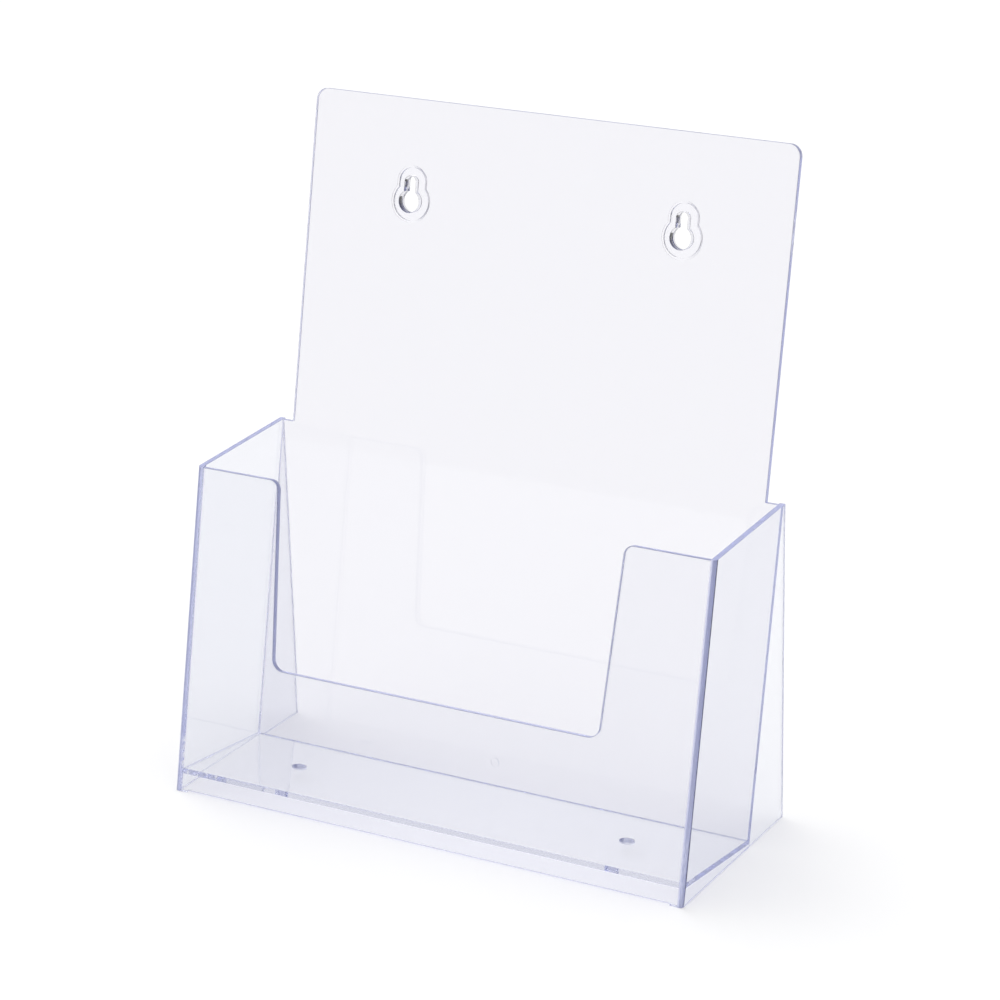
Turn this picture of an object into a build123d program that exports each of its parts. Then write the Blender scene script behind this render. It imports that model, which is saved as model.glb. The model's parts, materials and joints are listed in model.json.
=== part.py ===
from build123d import *
from math import cos, radians, sin, tan
import os

# Desk and wall rack for letter-size papers: a leaning back panel, a lower leaning front
# panel with a U cut-out, two end walls that carry on behind as gussets, a sloping floor
# and two hanging slots with raised rims. Clear moulded plastic. Millimetres, +Z up,
# +X to the right of a reader facing the front, -Y towards the reader.
# The origin is the centre of the bounding box's underside.

# Overall sizes
overall_width = 232.0
overall_height = 275.0
ground_depth = 95.0
front_height = 134.2
ledge_height = 137.0
lean_angle = 10.25

# Walls
wall = 2.4
floor_wall = 2.2
pocket_reach = 61.0
outer_corner_radius = 1.5
edge_radius = 0.4

# Back panel above the pocket
shoulder_inset = 7.5
back_corner_radius = 5.0
shoulder_root_radius = 0.8
gate_diameter = 3.6
gate_height = 0.35
gate_level = 12.0

# Cut-out in the front panel
cutout_top_width = 155.0
cutout_lip_width = 147.4
lip_height = 58.0
cutout_shoulder_radius = 4.0
cutout_foot_radius = 4.5

# Underside of the front panel
pad_length = 5.5
pad_relief = 0.8

# Pocket floor
floor_front_level = 9.0
floor_rear_level = 3.2
floor_hole_spacing = 152.0
floor_hole_diameter = 6.0
floor_hole_setback = 33.9

# Hanging slots
keyhole_spacing = 122.8
keyhole_level = 233.7
keyhole_entry_diameter = 9.2
keyhole_slot_width = 5.0
keyhole_rise = 8.0
boss_rim = 3.4
boss_height = 2.4
boss_flare = 0.8
boss_flare_height = 0.5
boss_waist_radius = 1.5

# Worked out from the sizes above
lean = radians(lean_angle)
rise_per_depth = tan(lean)
wall_in_plan = wall / cos(lean)
slope_length = 1.0 / cos(lean)
half_width = overall_width / 2
inner_width = overall_width - 2 * wall
upper_back_width = overall_width - 2 * shoulder_inset
overall_depth = pocket_reach + overall_height * rise_per_depth + wall * cos(lean)
front_foot = -overall_depth / 2
rear_foot = front_foot + ground_depth
floor_drop = floor_front_level - floor_rear_level


def front_outer(level):
    return front_foot + level * rise_per_depth


def front_inner(level):
    return front_outer(level) + wall_in_plan


def back_front(level):
    return front_outer(level) + pocket_reach


def back_rear(level):
    return back_front(level) + wall_in_plan


# Leaning planes: x to the right, y up the slope, z out of the face towards the reader
lean_normal = (0, -cos(lean), sin(lean))
front_plane = Plane(origin=(0, front_outer(0), 0), x_dir=(1, 0, 0), z_dir=lean_normal)
back_plane = Plane(origin=(0, back_front(0), 0), x_dir=(1, 0, 0), z_dir=lean_normal)
rear_normal = (0, cos(lean), -sin(lean))
rear_offset = Vector(*rear_normal) * wall
rear_plane = Plane(origin=back_plane.origin + rear_offset, x_dir=(-1, 0, 0), z_dir=rear_normal)

floor_rear_underside = floor_rear_level - floor_wall
back_foot_reach = floor_rear_underside * slope_length
back_top_reach = overall_height * slope_length
ledge_reach = ledge_height * slope_length
front_top_reach = front_height * slope_length
lip_reach = lip_height * slope_length
pad_reach = pad_relief * slope_length
keyhole_reach = keyhole_level * slope_length
gate_reach = gate_level * slope_length

# Back panel: full width between the end walls up to the ledge, narrower above it
with BuildPart() as back_panel:
    with BuildSketch(back_plane) as back_outline:
        with BuildLine():
            Polyline(
                (-inner_width / 2, back_foot_reach),
                (inner_width / 2, back_foot_reach),
                (inner_width / 2, ledge_reach),
                (upper_back_width / 2, ledge_reach),
                (upper_back_width / 2, back_top_reach),
                (-upper_back_width / 2, back_top_reach),
                (-upper_back_width / 2, ledge_reach),
                (-inner_width / 2, ledge_reach),
                close=True,
            )
        make_face()
        top_corners = back_outline.vertices().group_by(Axis.Y)[-1]
        fillet(top_corners, radius=back_corner_radius)
        ledge_corners = back_outline.vertices().filter_by_position(
            Axis.Y, ledge_reach - edge_radius, ledge_reach + edge_radius
        )
        shoulder_roots = ledge_corners.filter_by_position(
            Axis.X, -upper_back_width / 2 - edge_radius, upper_back_width / 2 + edge_radius
        )
        fillet(shoulder_roots, radius=shoulder_root_radius)
    extrude(amount=-wall)
    with BuildSketch(back_plane):
        for side in (-1, 1):
            with Locations((side * keyhole_spacing / 2, keyhole_reach)):
                Circle(keyhole_entry_diameter / 2)
            with Locations((side * keyhole_spacing / 2, keyhole_reach + keyhole_rise / 2)):
                Rectangle(keyhole_slot_width, keyhole_rise)
            with Locations((side * keyhole_spacing / 2, keyhole_reach + keyhole_rise)):
                Circle(keyhole_slot_width / 2)
    extrude(amount=-wall, mode=Mode.SUBTRACT)
    with BuildSketch(rear_plane):
        with Locations((0, gate_reach)):
            Circle(gate_diameter / 2)
    extrude(amount=gate_height)

# Front panel: U cut-out for reaching the papers, foot relieved between two corner pads
with BuildPart() as front_panel:
    with BuildSketch(front_plane):
        with BuildLine():
            Polyline(
                (-inner_width / 2, -wall),
                (-half_width + pad_length, -wall),
                (-half_width + pad_length, pad_reach),
                (half_width - pad_length, pad_reach),
                (half_width - pad_length, -wall),
                (inner_width / 2, -wall),
                (inner_width / 2, front_top_reach),
                (cutout_top_width / 2, front_top_reach),
                (cutout_lip_width / 2, lip_reach),
                (-cutout_lip_width / 2, lip_reach),
                (-cutout_top_width / 2, front_top_reach),
                (-inner_width / 2, front_top_reach),
                close=True,
            )
        make_face()
    extrude(amount=-wall)
    split(bisect_by=Plane.XY, keep=Keep.TOP)
    across = front_panel.edges().filter_by(
        lambda edge: abs((edge @ 1 - edge @ 0).X) < edge_radius and edge.length < wall + edge_radius
    )
    foot_edges = across.filter_by_position(
        Axis.Z, lip_height - wall, lip_height + wall
    )
    fillet(foot_edges, radius=cutout_foot_radius)
    across = front_panel.edges().filter_by(
        lambda edge: abs((edge @ 1 - edge @ 0).X) < edge_radius and edge.length < wall + edge_radius
    )
    shoulder_edges = across.filter_by_position(
        Axis.Z, front_height - wall, front_height + wall
    ).filter_by_position(Axis.X, -cutout_top_width / 2 - wall, cutout_top_width / 2 + wall)
    fillet(shoulder_edges, radius=cutout_shoulder_radius)


# End walls: one outline drawn on the outer face and pushed inwards by the wall
def end_wall(side):
    outer_face = Plane(origin=(side * half_width, 0, 0), x_dir=(0, 1, 0), z_dir=(1, 0, 0))
    with BuildPart() as panel:
        with BuildSketch(outer_face):
            with BuildLine():
                Polyline(
                    (front_outer(0), 0),
                    (rear_foot, 0),
                    (back_rear(ledge_height), ledge_height),
                    (front_outer(front_height), front_height),
                    close=True,
                )
            make_face()
        extrude(amount=-side * wall)
        outer_edges = panel.edges().filter_by_position(
            Axis.X, side * half_width - edge_radius, side * half_width + edge_radius
        )
        front_corner = outer_edges.sort_by(Axis.Y)[0]
        fillet(front_corner, radius=outer_corner_radius)
    return panel.part


left_side_panel = end_wall(-1)
right_side_panel = end_wall(1)

# Pocket floor: falls towards the back, ends cut to the lean of the two panels
with BuildPart() as pocket_floor:
    with BuildSketch(Plane.YZ):
        with BuildLine():
            Polyline(
                (front_inner(floor_front_level), floor_front_level),
                (back_front(floor_rear_level), floor_rear_level),
                (back_front(floor_rear_underside), floor_rear_underside),
                (front_inner(floor_front_level - floor_wall), floor_front_level - floor_wall),
                close=True,
            )
        make_face()
    extrude(amount=inner_width / 2, both=True)
    with BuildSketch(Plane.XY):
        with Locations((0, front_foot + floor_hole_setback)):
            with GridLocations(floor_hole_spacing, 0, 2, 1):
                Circle(floor_hole_diameter / 2)
    extrude(amount=floor_front_level, mode=Mode.SUBTRACT)


# Raised rim round one hanging slot, standing on the rear face of the back panel
def keyhole_boss(side):
    seat = rear_plane.offset(0)
    centre = (-side * keyhole_spacing / 2, keyhole_reach)
    slot_centre = (-side * keyhole_spacing / 2, keyhole_reach + keyhole_rise)
    slot_middle = (-side * keyhole_spacing / 2, keyhole_reach + keyhole_rise / 2)
    entry_radius = keyhole_entry_diameter / 2
    slot_radius = keyhole_slot_width / 2
    with BuildPart() as boss:
        for margin, height in ((boss_rim + boss_flare, boss_flare_height), (boss_rim, boss_height)):
            with BuildSketch(seat) as outline:
                with Locations(centre):
                    Circle(entry_radius + margin)
                with Locations(slot_middle):
                    Rectangle(2 * (slot_radius + margin), keyhole_rise)
                with Locations(slot_centre):
                    Circle(slot_radius + margin)
                waist = outline.vertices().filter_by_position(
                    Axis.Y, keyhole_reach + slot_radius, keyhole_reach + keyhole_rise - slot_radius
                )
                fillet(waist, radius=boss_waist_radius)
            extrude(amount=height)
        crown = boss.faces().sort_by(Axis((0, 0, 0), rear_normal))[-1]
        fillet(crown.outer_wire().edges(), radius=edge_radius)
        with BuildSketch(seat):
            with Locations(centre):
                Circle(entry_radius)
            with Locations(slot_middle):
                Rectangle(keyhole_slot_width, keyhole_rise)
            with Locations(slot_centre):
                Circle(slot_radius)
        extrude(amount=boss_height, mode=Mode.SUBTRACT)
    return boss.part


left_keyhole_boss = keyhole_boss(-1)
right_keyhole_boss = keyhole_boss(1)

nodes = {
    "back_panel": back_panel.part,
    "front_panel": front_panel.part,
    "left_side_panel": left_side_panel,
    "right_side_panel": right_side_panel,
    "pocket_floor": pocket_floor.part,
    "left_keyhole_boss": left_keyhole_boss,
    "right_keyhole_boss": right_keyhole_boss,
}
os.makedirs("parts", exist_ok=True)
for node, solid in nodes.items():
    solid.label = node
    export_step(solid, "parts/" + node + ".step")
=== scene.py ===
import bmesh
import bpy
import json
from math import asin, cos, radians, sin, tan
from mathutils import Matrix, Vector


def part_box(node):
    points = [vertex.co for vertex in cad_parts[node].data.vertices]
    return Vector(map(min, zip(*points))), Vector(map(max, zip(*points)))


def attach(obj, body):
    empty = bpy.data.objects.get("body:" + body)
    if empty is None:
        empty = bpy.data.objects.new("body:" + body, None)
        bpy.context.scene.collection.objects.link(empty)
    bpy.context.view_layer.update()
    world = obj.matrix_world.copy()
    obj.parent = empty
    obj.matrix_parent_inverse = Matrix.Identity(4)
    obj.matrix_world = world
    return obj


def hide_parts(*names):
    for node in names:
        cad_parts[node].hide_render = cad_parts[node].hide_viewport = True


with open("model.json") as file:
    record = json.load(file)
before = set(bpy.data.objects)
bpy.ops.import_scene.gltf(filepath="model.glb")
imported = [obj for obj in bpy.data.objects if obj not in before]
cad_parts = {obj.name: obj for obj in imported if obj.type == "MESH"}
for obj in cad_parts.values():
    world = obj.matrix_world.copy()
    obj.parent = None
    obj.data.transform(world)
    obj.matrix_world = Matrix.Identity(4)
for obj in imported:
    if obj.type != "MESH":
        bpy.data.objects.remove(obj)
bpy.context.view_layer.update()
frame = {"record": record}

# ---------------------------------------------------------------------------------------
# The two end walls: flat plates of clear moulded polystyrene. Each closes one end of the
# pocket, then carries on past the back panel as a gusset down to the desk. The front
# upright corner is softly rounded; every free edge has the small radius of the mould.
# ---------------------------------------------------------------------------------------
mounts = {mount["name"]: mount for mount in frame["record"]["mounts"]}
rearward = Vector(mounts["left_keyhole"]["axis"]).normalized()
upslope = Vector((0, -rearward.z, rearward.y))
lean = asin(-rearward.z)

left_wall_low, left_wall_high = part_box("left_side_panel")
right_wall_low, right_wall_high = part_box("right_side_panel")
front_low, front_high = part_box("front_panel")
back_low, back_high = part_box("back_panel")
floor_low, floor_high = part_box("pocket_floor")

wall = left_wall_high.x - left_wall_low.x
# Pieces stop this far short of each other, so that no two faces lie in one plane.
hair = 0.00002
free_edge_radius = 0.0003
corner_radius = 0.0015
ledge_height = left_wall_high.z
front_height = front_high.z


def along_lean(start, height):
    """The point at a height on the leaning line that runs through start."""
    return Vector((0, start.y + (height - start.z) * tan(lean), height))


front_outer = Vector((0, left_wall_low.y, 0))
front_inner = front_outer + rearward * wall
back_rear = Vector((0, back_high.y, back_high.z - wall * sin(lean)))
back_front = back_rear - rearward * wall
back_foot = along_lean(back_rear, back_low.z)
rear_foot = Vector((0, left_wall_high.y, 0))
floor_front_top = along_lean(front_inner, floor_high.z)
floor_rear_under = along_lean(back_front, floor_low.z)
floor_front_rise = (floor_low.y - front_inner.y) / tan(lean)
floor_front_under = Vector((0, floor_low.y, front_inner.z + floor_front_rise))
floor_fall = (floor_rear_under - floor_front_under).normalized()
floor_up = Vector((0, -floor_fall.z, floor_fall.y))


def deselect_everything():
    if bpy.context.object and bpy.context.object.mode == "EDIT":
        bpy.ops.object.mode_set(mode="OBJECT")
    bpy.ops.object.select_all(action="DESELECT")


def block(name, low, high):
    """A solid block between two corners, with its place in its mesh."""
    deselect_everything()
    middle = (Vector(low) + Vector(high)) / 2
    bpy.ops.mesh.primitive_cube_add(size=1, location=middle, scale=Vector(high) - Vector(low))
    bpy.ops.object.transform_apply(location=True, rotation=True, scale=True)
    piece = bpy.context.object
    piece.name = name
    piece.data.name = name
    return piece


def pick(piece, kind, test):
    """Selects the faces, or the edges, whose middle and normal, or run, pass the test."""
    bpy.context.view_layer.objects.active = piece
    bpy.ops.object.mode_set(mode="EDIT")
    bpy.ops.mesh.select_mode(type=kind)
    bpy.ops.mesh.select_all(action="DESELECT")
    mesh = bmesh.from_edit_mesh(piece.data)
    found = 0
    for part in {"FACE": mesh.faces, "EDGE": mesh.edges, "VERT": mesh.verts}[kind]:
        if kind == "FACE":
            chosen = test(part.calc_center_median(), part.normal)
        elif kind == "VERT":
            chosen = test(part.co, part.normal)
        else:
            start, end = (corner.co for corner in part.verts)
            chosen = test((start + end) / 2, (end - start).normalized())
        part.select_set(chosen)
        found += chosen
    mesh.select_flush_mode()
    bmesh.update_edit_mesh(piece.data)
    return found


def cut(piece, point, outward, keep_both=False):
    """Slices the piece on a plane: takes off the outward side, or only leaves edges."""
    bpy.context.view_layer.objects.active = piece
    bpy.ops.object.mode_set(mode="EDIT")
    bpy.ops.mesh.select_all(action="SELECT")
    bpy.ops.mesh.bisect(
        plane_co=point, plane_no=outward, use_fill=not keep_both, clear_outer=not keep_both
    )
    bpy.ops.object.mode_set(mode="OBJECT")


def round_edges(piece, test, radius, segments=3):
    if pick(piece, "EDGE", test):
        bpy.ops.mesh.bevel(offset=radius, segments=segments, affect="EDGES", clamp_overlap=True)
    bpy.ops.object.mode_set(mode="OBJECT")


def mark_faces(piece, name, test):
    """Writes 1 into a face attribute where the test passes, and 0 elsewhere."""
    marks = piece.data.attributes.new(name, "FLOAT", "FACE")
    for face in piece.data.polygons:
        marks.data[face.index].value = 1.0 if test(face.center, face.normal) else 0.0


def shade(piece, is_flat):
    """Smooth shading on rounds and curves, flat shading on the faces that pass the test."""
    for face in piece.data.polygons:
        face.use_smooth = not is_flat(face.center, face.normal)


def beyond(point, plane_point, direction):
    return (point - plane_point).dot(direction)


def between(point, first, second, direction, slack=0.00005):
    near = beyond(point, first, direction) > -slack
    return near and beyond(point, second, direction) < slack


def square_to(normal, *directions):
    return any(abs(normal.dot(direction)) > 0.9999 for direction in directions)


along_x = Vector((1, 0, 0))
up = Vector((0, 0, 1))
wall_top = along_lean(back_rear, ledge_height) - along_lean(front_outer, front_height)
wall_rear = rear_foot - along_lean(back_rear, ledge_height)
wall_top_normal = wall_top.cross(along_x).normalized() * -1
wall_rear_normal = wall_rear.cross(along_x).normalized() * -1


class Wire:
    """A socket in a material, so that shader maths can be written as Python sums."""

    def __init__(self, tree, socket=None):
        self.tree = tree
        self.socket = socket

    def add(self, kind, inputs=None, output=0, stops=None, **settings):
        node = self.tree.nodes.new(kind)
        for name, value in settings.items():
            setattr(node, name, value)
        for index, (place, grey) in enumerate(stops or ()):
            spots = node.color_ramp.elements
            spot = spots[index] if index < len(spots) else spots.new(place)
            spot.position = place
            spot.color = (grey, grey, grey, 1)
        for name, value in (inputs or {}).items():
            if isinstance(value, Wire):
                self.tree.links.new(value.socket, node.inputs[name])
            else:
                node.inputs[name].default_value = value
        return None if output is None else Wire(self.tree, node.outputs[output])

    def maths(self, operation, first, second):
        return self.add("ShaderNodeMath", {0: first, 1: second}, operation=operation)

    def __add__(self, other):
        return self.maths("ADD", self, other)

    def __mul__(self, other):
        return self.maths("MULTIPLY", self, other)

    __radd__ = __add__
    __rmul__ = __mul__


def clear_polystyrene(name, body_colour_and_painted_shading, scuffs, haze, waviness, let_light):
    """Clear moulded plastic, faintly violet-blue in its depth, where the edges gather it.

    body_colour_and_painted_shading is the tint of its faces. Each piece gets its own, and
    as all the pieces are one plastic, the differences between them are painted light and
    shade. scuffs is how rough the fine handling marks are, haze how rough the plain surface
    is, and waviness how far the slow flow marks of moulding tilt the surface. let_light is
    the share of a lamp's light that each face lets through. Faces marked
    edge_glow_and_roughness are a little rougher and carry a painted glow: a bluer tint and a
    share of a lit periwinkle diffuse, standing in for the light that the clear plate carries
    along inside itself to its edges. Faces marked fused_seam don't show.
    """
    material = bpy.data.materials.new(name)
    material.use_nodes = True
    material.node_tree.nodes.clear()
    wire = Wire(material.node_tree)
    place = wire.add("ShaderNodeTexCoord", output="Object")
    edge = wire.add("ShaderNodeAttribute", output="Fac", attribute_name="edge_glow_and_roughness")
    seam = wire.add("ShaderNodeAttribute", output="Fac", attribute_name="fused_seam")
    flow = wire.add("ShaderNodeTexNoise", {"Vector": place, "Scale": 14.0, "Detail": 1.0})
    dust = wire.add("ShaderNodeTexNoise", {"Vector": place, "Scale": 420.0, "Detail": 3.0})
    marks = wire.add(
        "ShaderNodeValToRGB", {"Fac": dust}, stops=((0.55, 0.0), (0.75, 1.0))
    )
    bump = wire.add(
        "ShaderNodeBump", {"Height": flow, "Strength": waviness, "Distance": 0.001}, output="Normal"
    )
    # Edge faces get a bluer base colour than the broad faces: painted glow for the light gathered at
    # the plate's edges.
    tint = wire.add(
        "ShaderNodeMix",
        {"Factor": edge, 6: body_colour_and_painted_shading, 7: (0.86, 0.87, 0.95, 1)},
        output=2,
        data_type="RGBA",
    )
    body = wire.add(
        "ShaderNodeBsdfPrincipled",
        {
            "Base Color": tint,
            "Roughness": marks * scuffs + edge * 0.1 + haze,
            "IOR": 1.57,
            "Transmission Weight": 1.0,
            "Normal": bump,
        },
    )
    let_through = wire.add(
        "ShaderNodeBsdfTransparent", {"Color": (let_light, let_light, let_light + 0.02, 1)}
    )
    joined = wire.add("ShaderNodeBsdfTransparent", {"Color": (1, 1, 1, 1)})
    shadow_ray = wire.add("ShaderNodeLightPath", output="Is Shadow Ray")
    diffuse_ray = wire.add("ShaderNodeLightPath", output="Is Diffuse Ray")
    lamp = wire.maths("MAXIMUM", shadow_ray, diffuse_ray)
    # A lit periwinkle diffuse on a share of each edge face is a painted glow, standing in for the
    # light carried inside the clear plate to its edges.
    painted_edge_glow = wire.add(
        "ShaderNodeBsdfPrincipled", {"Base Color": (0.52, 0.55, 0.82, 1), "Roughness": 0.5}
    )
    rimmed = wire.add("ShaderNodeMixShader", {0: edge * 0.42, 1: body, 2: painted_edge_glow})
    outside = wire.add("ShaderNodeMixShader", {0: lamp, 1: rimmed, 2: let_through})
    surface = wire.add("ShaderNodeMixShader", {0: seam, 1: outside, 2: joined})
    depth = wire.add(
        "ShaderNodeVolumeAbsorption", {"Color": (0.0, 0.08, 0.58, 1), "Density": 3.3}
    )
    wire.add("ShaderNodeOutputMaterial", {"Surface": surface, "Volume": depth}, output=None)
    return material


# The walls' copy of the plastic has a darker body colour than the front and floor: painted shade, as
# every piece is the same plastic.
wall_plastic = clear_polystyrene(
    "clear_polystyrene_walls", (0.885, 0.893, 0.928, 1), 0.05, 0.015, 0.02, 0.84
)


def end_wall(name, node, low, high, inward):
    piece = block(name, (low.x, low.y, 0), (high.x, high.y, high.z))
    outer_x = low.x if inward > 0 else high.x
    inner_x = high.x if inward > 0 else low.x
    cut(piece, front_outer, -rearward)
    cut(piece, along_lean(front_outer, front_height), wall_top_normal)
    cut(piece, rear_foot, wall_rear_normal)

    def is_front_corner(middle, run):
        return abs(middle.x - outer_x) < hair and abs(beyond(middle, front_outer, rearward)) < hair

    round_edges(piece, is_front_corner, corner_radius, segments=8)

    def is_free_edge(middle, run):
        on_top = abs(beyond(middle, along_lean(front_outer, front_height), wall_top_normal)) < hair
        on_rear = abs(beyond(middle, rear_foot, wall_rear_normal)) < hair
        return (on_top or on_rear or middle.z < hair) and abs(run.x) < 0.5

    round_edges(piece, is_free_edge, free_edge_radius)
    for point, direction in (
        (front_inner, rearward),
        (back_front, rearward),
        (back_rear, rearward),
        (back_foot, upslope),
        (floor_front_top, floor_up),
        (floor_front_under, floor_up),
    ):
        cut(piece, point, direction, keep_both=True)

    def is_seam(middle, normal):
        if abs(middle.x - inner_x) > hair or abs(normal.x) < 0.99:
            return False
        on_front = beyond(middle, front_inner, rearward) < 0 and middle.z < front_height
        on_back = between(middle, back_front, back_rear, rearward)
        on_back = on_back and beyond(middle, back_foot, upslope) > 0
        on_floor = between(middle, front_inner, back_front, rearward)
        on_floor = on_floor and between(middle, floor_front_under, floor_front_top, floor_up)
        return on_front or on_back or on_floor

    mark_faces(piece, "fused_seam", is_seam)
    # Narrow faces take the painted edge glow and a little extra roughness.
    mark_faces(piece, "edge_glow_and_roughness", lambda middle, normal: abs(normal.x) < 0.9)
    broad = (along_x, rearward, wall_top_normal, wall_rear_normal, up)
    shade(piece, lambda middle, normal: square_to(normal, *broad))
    piece.data.materials.append(wall_plastic)
    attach(piece, "root")
    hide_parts(node)
    return piece


end_wall("end_wall_left", "left_side_panel", left_wall_low, left_wall_high, 1)
end_wall("end_wall_right", "right_side_panel", right_wall_low, right_wall_high, -1)

# ---------------------------------------------------------------------------------------
# The back panel: one tall leaning plate of the same plastic, as wide as the pocket up to
# the ledge and stepped in above it. It is fused to both end walls and the floor. Two
# keyhole slots near the top hang it on screws, and a small gate mark is left low behind.
# ---------------------------------------------------------------------------------------
upper_half_width = 0.1085
top_corner_radius = 0.005
gate_radius = 0.0018
gate_height = 0.0003
gate_rise = 0.0122
entry_radius = mounts["left_keyhole"]["dims"]["r_mm"] / 1000
slot_radius = 0.0025
slot_rise = 0.008
boss_rim = 0.0034
boss_flare = 0.0008
boss_waist_radius = 0.0015
beside_ledge = 0.2
keyhole_reach_across = 0.012
keyhole_reach_upward = 0.03
keyhole_half_spacing = mounts["right_keyhole"]["pos_m"][0]
keyhole_middle = Vector(mounts["right_keyhole"]["pos_m"])
back_pivot = Vector((0, back_front.y - back_front.z * tan(lean), 0))
panel_length = beyond(back_front, back_pivot, upslope)
foot_rise = beyond(back_foot, back_pivot, upslope)
ledge_rise = ledge_height / cos(lean)
keyhole_rise = beyond(keyhole_middle, back_pivot, upslope)


def lean_back(piece, pivot):
    """Tips an upright piece back about a line across the rack at the pivot."""
    pick(piece, "FACE", lambda middle, normal: True)
    bpy.ops.transform.rotate(
        value=lean, orient_axis="X", orient_type="GLOBAL", center_override=pivot
    )
    bpy.ops.object.mode_set(mode="OBJECT")


def rod(name, middle, radius, depth, sides=96):
    """A round bar lying along Y."""
    deselect_everything()
    bpy.ops.mesh.primitive_cylinder_add(
        vertices=sides, radius=radius, depth=depth, location=middle, rotation=(radians(90), 0, 0)
    )
    bpy.ops.object.transform_apply(location=True, rotation=True, scale=True)
    piece = bpy.context.object
    piece.name = name
    return piece


def combine(piece, other, operation):
    """Joins, or cuts, the piece with another solid, which is used up."""
    deselect_everything()
    bpy.context.view_layer.objects.active = piece
    step = piece.modifiers.new(operation.lower(), "BOOLEAN")
    step.operation = operation
    step.solver = "EXACT"
    step.object = other
    bpy.ops.object.modifier_apply(modifier=step.name)
    bpy.data.objects.remove(other)
    return piece


def keyhole_bar(name, x, low_y, high_y, margin, waist=0.0):
    """A bar of keyhole outline along Y: a round entry with a narrower slot rising from it.

    Both rods start over-long, by different amounts, and are cut flush together.
    """
    middle = (low_y + high_y) / 2
    depth = high_y - low_y
    half = slot_radius + margin
    bar = rod(name, (x, middle, keyhole_rise), entry_radius + margin, 1.4 * depth)
    slot = rod("slot", (x, middle, keyhole_rise + slot_rise), half, 1.8 * depth)
    pick(slot, "VERT", lambda place, normal: place.z < keyhole_rise + slot_rise - hair)
    bpy.ops.transform.translate(value=(0, 0, -slot_rise))
    bpy.ops.object.mode_set(mode="OBJECT")
    combine(bar, slot, "UNION")
    cut(bar, Vector((0, low_y, 0)), Vector((0, -1, 0)))
    cut(bar, Vector((0, high_y, 0)), Vector((0, 1, 0)))
    if waist:

        def is_waist(place, run):
            beside = abs(abs(place.x - x) - half) < 0.0002
            level = keyhole_rise + 0.001 < place.z < keyhole_rise + slot_rise - 0.001
            return beside and level and abs(run.y) > 0.99

        round_edges(bar, is_waist, waist, segments=6)
    return bar


# The back panel's copy has a darker body colour too: painted shade.
back_plastic = clear_polystyrene(
    "clear_polystyrene_back", (0.884, 0.88, 0.917, 1), 0.04, 0.012, 0.02, 0.93
)

half_width = right_wall_low.x - hair
back = block(
    "back_panel_tall",
    (-half_width, back_pivot.y, foot_rise),
    (half_width, back_pivot.y + wall, panel_length),
)
for side in (-1, 1):
    inner = side * upper_half_width
    outer = side * beside_ledge
    corner = block(
        "ledge_cut",
        (min(inner, outer), back_pivot.y - wall, ledge_rise),
        (max(inner, outer), back_pivot.y + 2 * wall, panel_length + wall),
    )
    combine(back, corner, "DIFFERENCE")
round_edges(
    back,
    lambda middle, run: abs(run.y) > 0.99 and middle.z > panel_length - hair,
    top_corner_radius,
    segments=16,
)
for side in (-1, 1):
    x = side * keyhole_half_spacing
    hole = keyhole_bar("keyhole", x, back_pivot.y - wall, back_pivot.y + 2 * wall, 0.0)
    combine(back, hole, "DIFFERENCE")


def is_panel_outline(middle, run):
    on_face = abs(middle.y - back_pivot.y) < hair or abs(middle.y - back_pivot.y - wall) < hair
    above = middle.z > ledge_rise - hair
    return on_face and above and abs(run.y) < 0.01


round_edges(back, is_panel_outline, free_edge_radius)
for side in (-1, 1):
    x = side * keyhole_half_spacing
    low_y = back_pivot.y + wall - hair
    seat = keyhole_bar("boss_seat", x, low_y, low_y + wall, boss_rim + boss_flare, boss_waist_radius)
    combine(back, seat, "DIFFERENCE")
gate = rod("gate", (0, back_pivot.y + wall, gate_rise), gate_radius, 2 * gate_height, 32)
combine(back, gate, "UNION")
lean_back(back, back_pivot)
for point in (floor_front_top, floor_front_under):
    cut(back, point, floor_up, keep_both=True)


def is_back_seam(middle, normal):
    on_end = abs(normal.x) > 0.99 and abs(middle.x) > half_width - hair
    on_floor = normal.dot(rearward) < -0.99 and abs(beyond(middle, back_front, rearward)) < hair / 2
    on_floor = on_floor and beyond(middle, floor_front_top, floor_up) < 0
    sunk = abs(beyond(middle, back_rear, rearward) + hair) < hair / 4
    on_boss = normal.dot(rearward) > 0.99 and sunk
    return on_end or on_floor or on_boss


mark_faces(back, "fused_seam", is_back_seam)


def is_back_rim(middle, normal):
    beside_hole = abs(abs(middle.x) - keyhole_half_spacing) < keyhole_reach_across
    level_with_hole = abs(middle.z - keyhole_rise) < keyhole_reach_upward
    return abs(normal.dot(rearward)) < 0.9 and not (beside_hole and level_with_hole)


# Narrow faces, away from the keyholes, take the painted edge glow and a little extra roughness.
mark_faces(back, "edge_glow_and_roughness", is_back_rim)
shade(back, lambda middle, normal: square_to(normal, rearward, upslope, along_x))
back.data.materials.append(back_plastic)
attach(back, "root")
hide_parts("back_panel")

# ---------------------------------------------------------------------------------------
# The two keyhole bosses: raised rims of the same clear plastic round the hanging slots,
# moulded on the rear face of the back panel. Each widens a little where it meets the
# panel, and its crown is softly rounded.
# ---------------------------------------------------------------------------------------
boss_height = 0.0024
flare_height = 0.0005
flare_root = 0.0002
rim_root = 0.0004
crown_radius = 0.0004
# The bosses' copy has a lighter body colour than the back panel they stand on: painted light.
boss_plastic = clear_polystyrene(
    "clear_polystyrene_bosses", (0.93, 0.925, 0.96, 1), 0.03, 0.01, 0.01, 0.95
)


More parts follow.
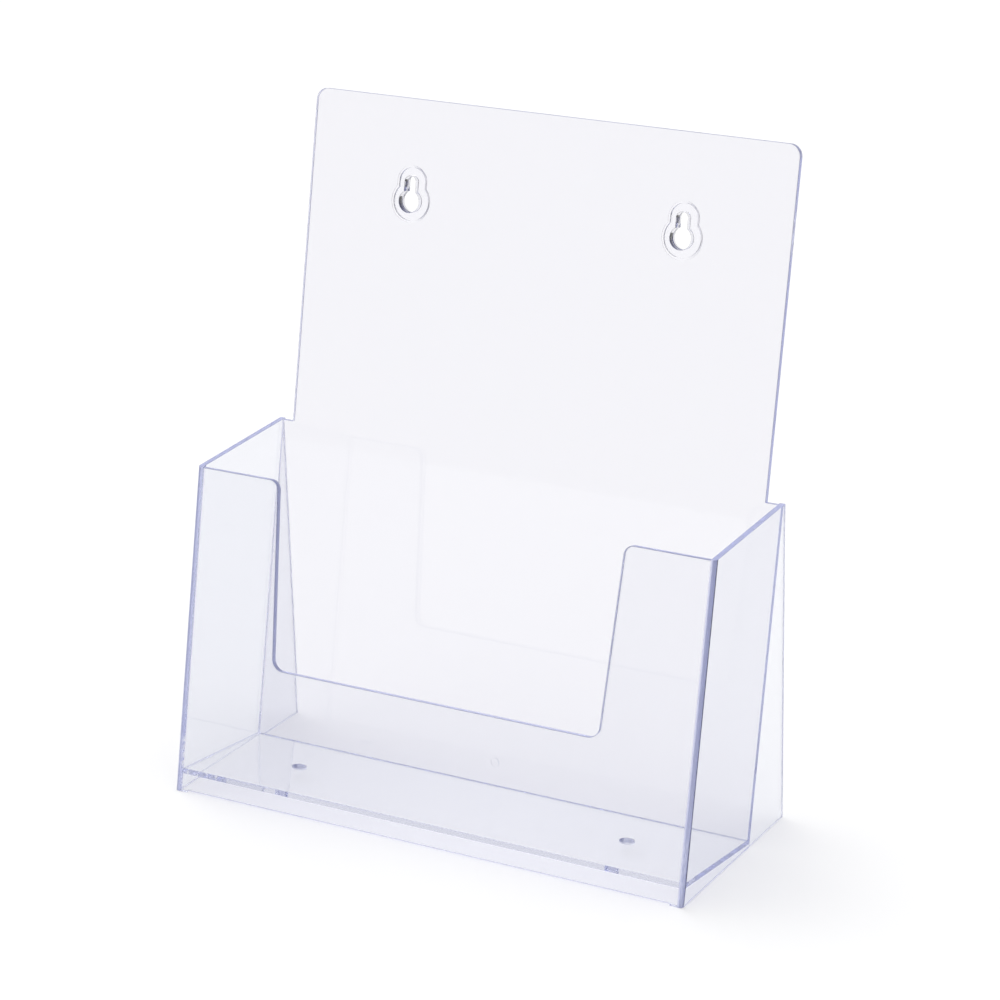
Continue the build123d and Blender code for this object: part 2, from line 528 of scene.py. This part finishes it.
def keyhole_boss(name, node, side):
    x = side * keyhole_half_spacing
    low_y = back_pivot.y + wall
    flare_top = low_y + flare_height
    flare = keyhole_bar(
        name, x, low_y - flare_root, flare_top, boss_rim + boss_flare, boss_waist_radius
    )
    rim = keyhole_bar(
        "rim", x, low_y - rim_root, low_y + boss_height, boss_rim, boss_waist_radius
    )

    def is_crown(middle, run):
        return abs(middle.y - low_y - boss_height) < hair and abs(run.y) < 0.01

    round_edges(rim, is_crown, crown_radius, segments=4)
    piece = combine(flare, rim, "UNION")
    cut(piece, Vector((0, low_y, 0)), Vector((0, -1, 0)))
    hole = keyhole_bar("keyhole", x, low_y - wall, low_y + 2 * boss_height, 0.0)
    combine(piece, hole, "DIFFERENCE")
    lean_back(piece, back_pivot)

    def is_base(middle, normal):
        return abs(beyond(middle, back_rear, rearward)) < hair and normal.dot(rearward) < -0.99

    mark_faces(piece, "fused_seam", is_base)
    shade(piece, lambda middle, normal: square_to(normal, rearward))
    piece.data.materials.append(boss_plastic)
    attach(piece, "root")
    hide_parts(node)
    return piece


keyhole_boss("keyhole_boss_left", "left_keyhole_boss", -1)
keyhole_boss("keyhole_boss_right", "right_keyhole_boss", 1)

# ---------------------------------------------------------------------------------------
# The front panel: a low leaning plate of the same plastic with a wide U cut-out, so the
# front sheet can be seen and reached. Its foot is lifted between two short corner pads.
# ---------------------------------------------------------------------------------------
cutout_top_half = 0.0775
cutout_lip_half = 0.0737
lip_height = 0.058
cutout_shoulder_radius = 0.004
cutout_foot_radius = 0.0045
pad_length = 0.0055
pad_relief = 0.0008
front_pivot = front_outer
front_length = front_height / cos(lean)
lip_rise = lip_height / cos(lean)
relief_rise = pad_relief / cos(lean)
# The front panel's copy has a lighter body colour than the walls and back: painted light.
front_plastic = clear_polystyrene(
    "clear_polystyrene_front", (0.942, 0.945, 0.962, 1), 0.05, 0.015, 0.02, 0.965
)

front = block(
    "front_panel_low",
    (-half_width, front_pivot.y, -wall),
    (half_width, front_pivot.y + wall, front_length),
)
opening = block(
    "cutout",
    (-cutout_top_half, front_pivot.y - wall, lip_rise),
    (cutout_top_half, front_pivot.y + 2 * wall, front_length),
)
pick(opening, "EDGE", lambda middle, run: abs(middle.z - lip_rise) < hair and abs(run.y) > 0.99)
bpy.ops.transform.resize(
    value=(cutout_lip_half / cutout_top_half, 1, 1), center_override=(0, 0, lip_rise)
)
pick(opening, "FACE", lambda middle, normal: normal.z > 0.99)
bpy.ops.mesh.extrude_region_move(TRANSFORM_OT_translate={"value": (0, 0, wall)})
bpy.ops.object.mode_set(mode="OBJECT")
combine(front, opening, "DIFFERENCE")
relief = block(
    "relief",
    (-right_wall_high.x + pad_length, front_pivot.y - wall, -2 * wall),
    (right_wall_high.x - pad_length, front_pivot.y + 2 * wall, relief_rise),
)
combine(front, relief, "DIFFERENCE")
round_edges(
    front,
    lambda middle, run: abs(run.y) > 0.99 and abs(middle.z - lip_rise) < hair,
    cutout_foot_radius,
    segments=14,
)
round_edges(
    front,
    lambda middle, run: abs(run.y) > 0.99
    and middle.z > front_length - hair
    and abs(middle.x) < cutout_top_half + wall,
    cutout_shoulder_radius,
    segments=14,
)


def is_front_outline(middle, run):
    on_face = abs(middle.y - front_pivot.y) < hair or abs(middle.y - front_pivot.y - wall) < hair
    above_lip = middle.z > lip_rise - hair and abs(run.y) < 0.01
    return on_face and above_lip and abs(middle.x) < half_width - hair


round_edges(front, is_front_outline, free_edge_radius)
lean_back(front, front_pivot)
cut(front, Vector((0, 0, 0)), -up)
for point in (floor_front_top, floor_front_under):
    cut(front, point, floor_up, keep_both=True)


def is_front_seam(middle, normal):
    on_end = abs(normal.x) > 0.99 and abs(middle.x) > half_width - hair
    on_floor = normal.dot(rearward) > 0.99 and between(
        middle, floor_front_under, floor_front_top, floor_up
    )
    return on_end or on_floor


mark_faces(front, "fused_seam", is_front_seam)
# Narrow faces take the painted edge glow and a little extra roughness.
mark_faces(front, "edge_glow_and_roughness", lambda middle, normal: abs(normal.dot(rearward)) < 0.9)
shade(front, lambda middle, normal: square_to(normal, rearward, upslope, along_x, up))
front.data.materials.append(front_plastic)
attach(front, "root")
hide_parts("front_panel")

# ---------------------------------------------------------------------------------------
# The pocket floor: a plate of the same plastic that falls towards the back, so the papers
# settle against the back panel. It is fused to all four walls and has two round holes.
# ---------------------------------------------------------------------------------------
floor_hole_radius = mounts["floor_holes"]["dims"]["hole_r_mm"] / 1000
floor_hole_half_spacing = mounts["floor_holes"]["dims"]["spacing_x_mm"] / 2000
floor_hole_y = mounts["floor_holes"]["pos_m"][1]
drill_length = 0.03
# The floor's copy is nearly white: painted light, for the bright sky that the floor takes from
# above.
floor_plastic = clear_polystyrene(
    "clear_polystyrene_floor", (0.99, 0.995, 1.0, 1), 0.08, 0.02, 0.03, 0.975
)

pocket_floor = block(
    "pocket_floor_sloping",
    (-half_width, floor_low.y - wall, floor_low.z - wall),
    (half_width, floor_high.y + wall, floor_high.z + wall),
)
cut(pocket_floor, floor_front_top, floor_up)
cut(pocket_floor, floor_front_under, -floor_up)
cut(pocket_floor, front_inner + rearward * hair, -rearward)
cut(pocket_floor, back_front - rearward * hair, rearward)
for side in (-1, 1):
    deselect_everything()
    bpy.ops.mesh.primitive_cylinder_add(
        vertices=96,
        radius=floor_hole_radius,
        depth=drill_length,
        location=(side * floor_hole_half_spacing, floor_hole_y, floor_high.z / 2),
    )
    bpy.ops.object.transform_apply(location=True, rotation=True, scale=True)
    combine(pocket_floor, bpy.context.object, "DIFFERENCE")


def is_hole_rim(middle, run):
    for side in (-1, 1):
        reach = Vector((middle.x - side * floor_hole_half_spacing, middle.y - floor_hole_y)).length
        if abs(reach - floor_hole_radius) < 0.0001 and abs(run.z) < 0.5:
            return True
    return False


round_edges(pocket_floor, is_hole_rim, free_edge_radius / 2, segments=2)


def is_floor_seam(middle, normal):
    on_end = abs(normal.x) > 0.99 and abs(middle.x) > half_width - hair
    return on_end or square_to(normal, rearward)


mark_faces(pocket_floor, "fused_seam", is_floor_seam)
# Narrow faces take the painted edge glow and a little extra roughness.
mark_faces(pocket_floor, "edge_glow_and_roughness", lambda middle, normal: abs(normal.dot(floor_up)) < 0.9)
shade(pocket_floor, lambda middle, normal: square_to(normal, rearward, floor_up, along_x))
pocket_floor.data.materials.append(floor_plastic)
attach(pocket_floor, "root")
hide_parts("pocket_floor")

# ---------------------------------------------------------------------------------------
# The studio: a white table under soft light from above left, and the camera in front and
# to the right of the rack, looking a little down on it.
# ---------------------------------------------------------------------------------------
deselect_everything()
bpy.ops.mesh.primitive_plane_add(size=16, location=(0, 0, -0.0002))
table = bpy.context.object
table.name = "white_table"
table_paper = bpy.data.materials.new("white_paper")
table_paper.use_nodes = True
paper = table_paper.node_tree.nodes["Principled BSDF"]
paper.inputs["Base Color"].default_value = (0.9, 0.9, 0.9, 1)
paper.inputs["Roughness"].default_value = 0.7
table.data.materials.append(table_paper)

sky = bpy.data.worlds.new("studio")
bpy.context.scene.world = sky
sky.use_nodes = True
sky.node_tree.nodes["Background"].inputs["Color"].default_value = (1, 1, 1, 1)
room = Wire(sky.node_tree)
way = room.add("ShaderNodeTexCoord", output="Generated")
frontward = room.add(
    "ShaderNodeVectorMath",
    {0: way, 1: (0.25, -0.95, -0.15)},
    output="Value",
    operation="DOT_PRODUCT",
)
glow = room.add(
    "ShaderNodeMapRange",
    {"Value": frontward, "From Min": -0.6, "From Max": 0.9, "To Min": 0.92, "To Max": 0.8},
    interpolation_type="SMOOTHSTEP",
)
sky.node_tree.links.new(glow.socket, sky.node_tree.nodes["Background"].inputs["Strength"])

soft_key = bpy.data.lights.new("soft_key", "SUN")
soft_key.angle = radians(38)
soft_key.energy = 1.1
key_holder = bpy.data.objects.new("soft_key", soft_key)
bpy.context.scene.collection.objects.link(key_holder)
from_above_left = Vector((-0.469, 0.157, 0.869))
key_holder.rotation_euler = from_above_left.to_track_quat("Z", "Y").to_euler()

view_turn = radians(28.31)
view_drop = radians(19.46)
view_distance = 1.31814
light_bounces = 128
toward = Vector(
    (sin(view_turn) * cos(view_drop), -cos(view_turn) * cos(view_drop), sin(view_drop))
)
aim = Vector((0.01511, front_outer.y + 0.040, 0.13671))
lens = bpy.data.cameras.new("camera")
lens.lens = 120.83
lens.sensor_width = 36
lens.clip_end = 50
viewer = bpy.data.objects.new("camera", lens)
bpy.context.scene.collection.objects.link(viewer)
level = (-toward).cross(up).normalized()
placed = Matrix((level, level.cross(-toward), toward)).transposed().to_4x4()
placed.translation = aim + toward * view_distance
viewer.matrix_world = placed
bpy.context.scene.camera = viewer
bpy.context.scene.view_settings.view_transform = "Standard"
bpy.context.scene.cycles.max_bounces = light_bounces
bpy.context.scene.cycles.transmission_bounces = light_bounces
bpy.context.scene.cycles.glossy_bounces = light_bounces
bpy.context.scene.cycles.transparent_max_bounces = light_bounces
